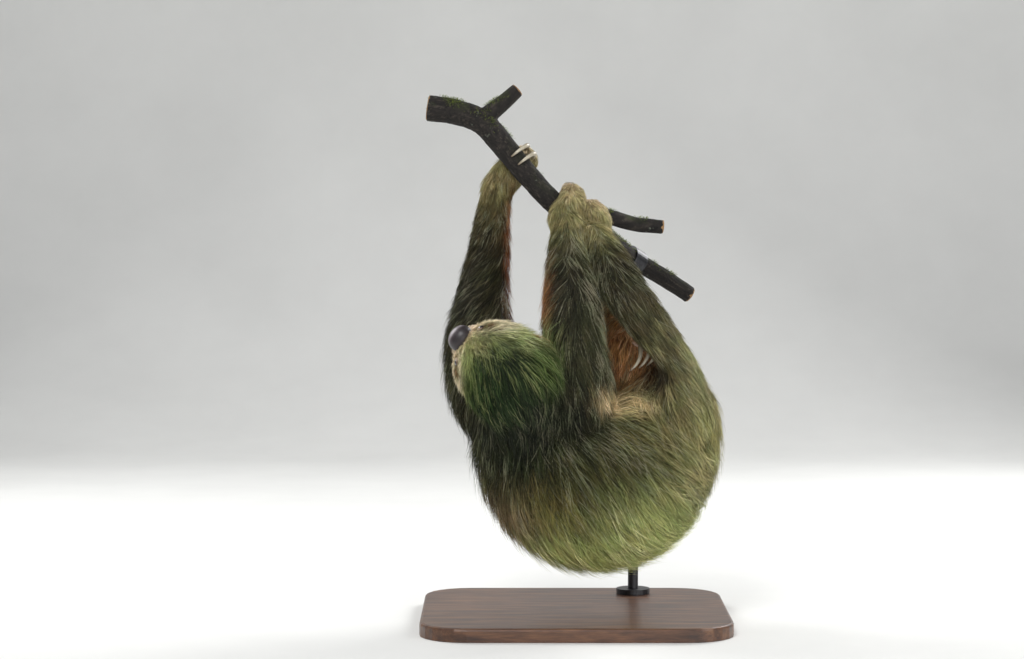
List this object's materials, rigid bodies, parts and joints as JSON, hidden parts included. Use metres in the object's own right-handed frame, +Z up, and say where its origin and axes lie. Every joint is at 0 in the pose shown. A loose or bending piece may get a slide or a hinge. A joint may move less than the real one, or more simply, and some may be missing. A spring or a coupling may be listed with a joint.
{
  "type": "two-toed sloth",
  "caption": "Life-size still model of a Hoffmann's two-toed sloth hanging curled below a cut branch, on a flat base with a rod.",
  "frame": {"origin": "middle of the stand's underside, which is the bottom centre of the whole part's box", "axes": "+Z up; +X along the hanging body from head to rump; +Y away from the front, which shows the animal's right side"},
  "size_m": [0.46, 0.4, 0.808],
  "materials": {
    "coat": "long shaggy fur, brown with tan and green-grey strands",
    "nose_skin": "bare, finely grained, slightly moist",
    "ear_skin": "thin bare skin with short hair",
    "eye": "wet gloss",
    "claw": "satin horn",
    "bark": "rough bark with lichen",
    "stand_wood": "satin lacquer",
    "stand_metal": "satin black"
  },
  "bodies": {
    "root": {"head": "coat", "neck": "coat", "trunk": "coat", "upper_arm_left": "coat", "forearm_left": "coat", "hand_left": "coat", "upper_arm_right": "coat", "forearm_right": "coat", "hand_right": "coat", "thigh_left": "coat", "shank_left": "coat", "foot_left": "coat", "thigh_right": "coat", "shank_right": "coat", "foot_right": "coat", "ear_left": "ear_skin", "ear_right": "ear_skin", "nose": "nose_skin", "eye_left": "eye", "eye_right": "eye", "claw_foot_left_1": "claw", "claw_foot_left_2": "claw", "claw_foot_left_3": "claw", "claw_foot_right_1": "claw", "claw_foot_right_2": "claw", "claw_foot_right_3": "claw", "claw_hand_left_1": "claw", "claw_hand_left_2": "claw", "claw_hand_right_1": "claw", "claw_hand_right_2": "claw", "perch": "bark", "stand_base": "stand_wood", "stand_flange": "stand_metal", "stand_rod": "stand_metal", "stand_clamp": "stand_metal"}
  },
  "joints": []
}
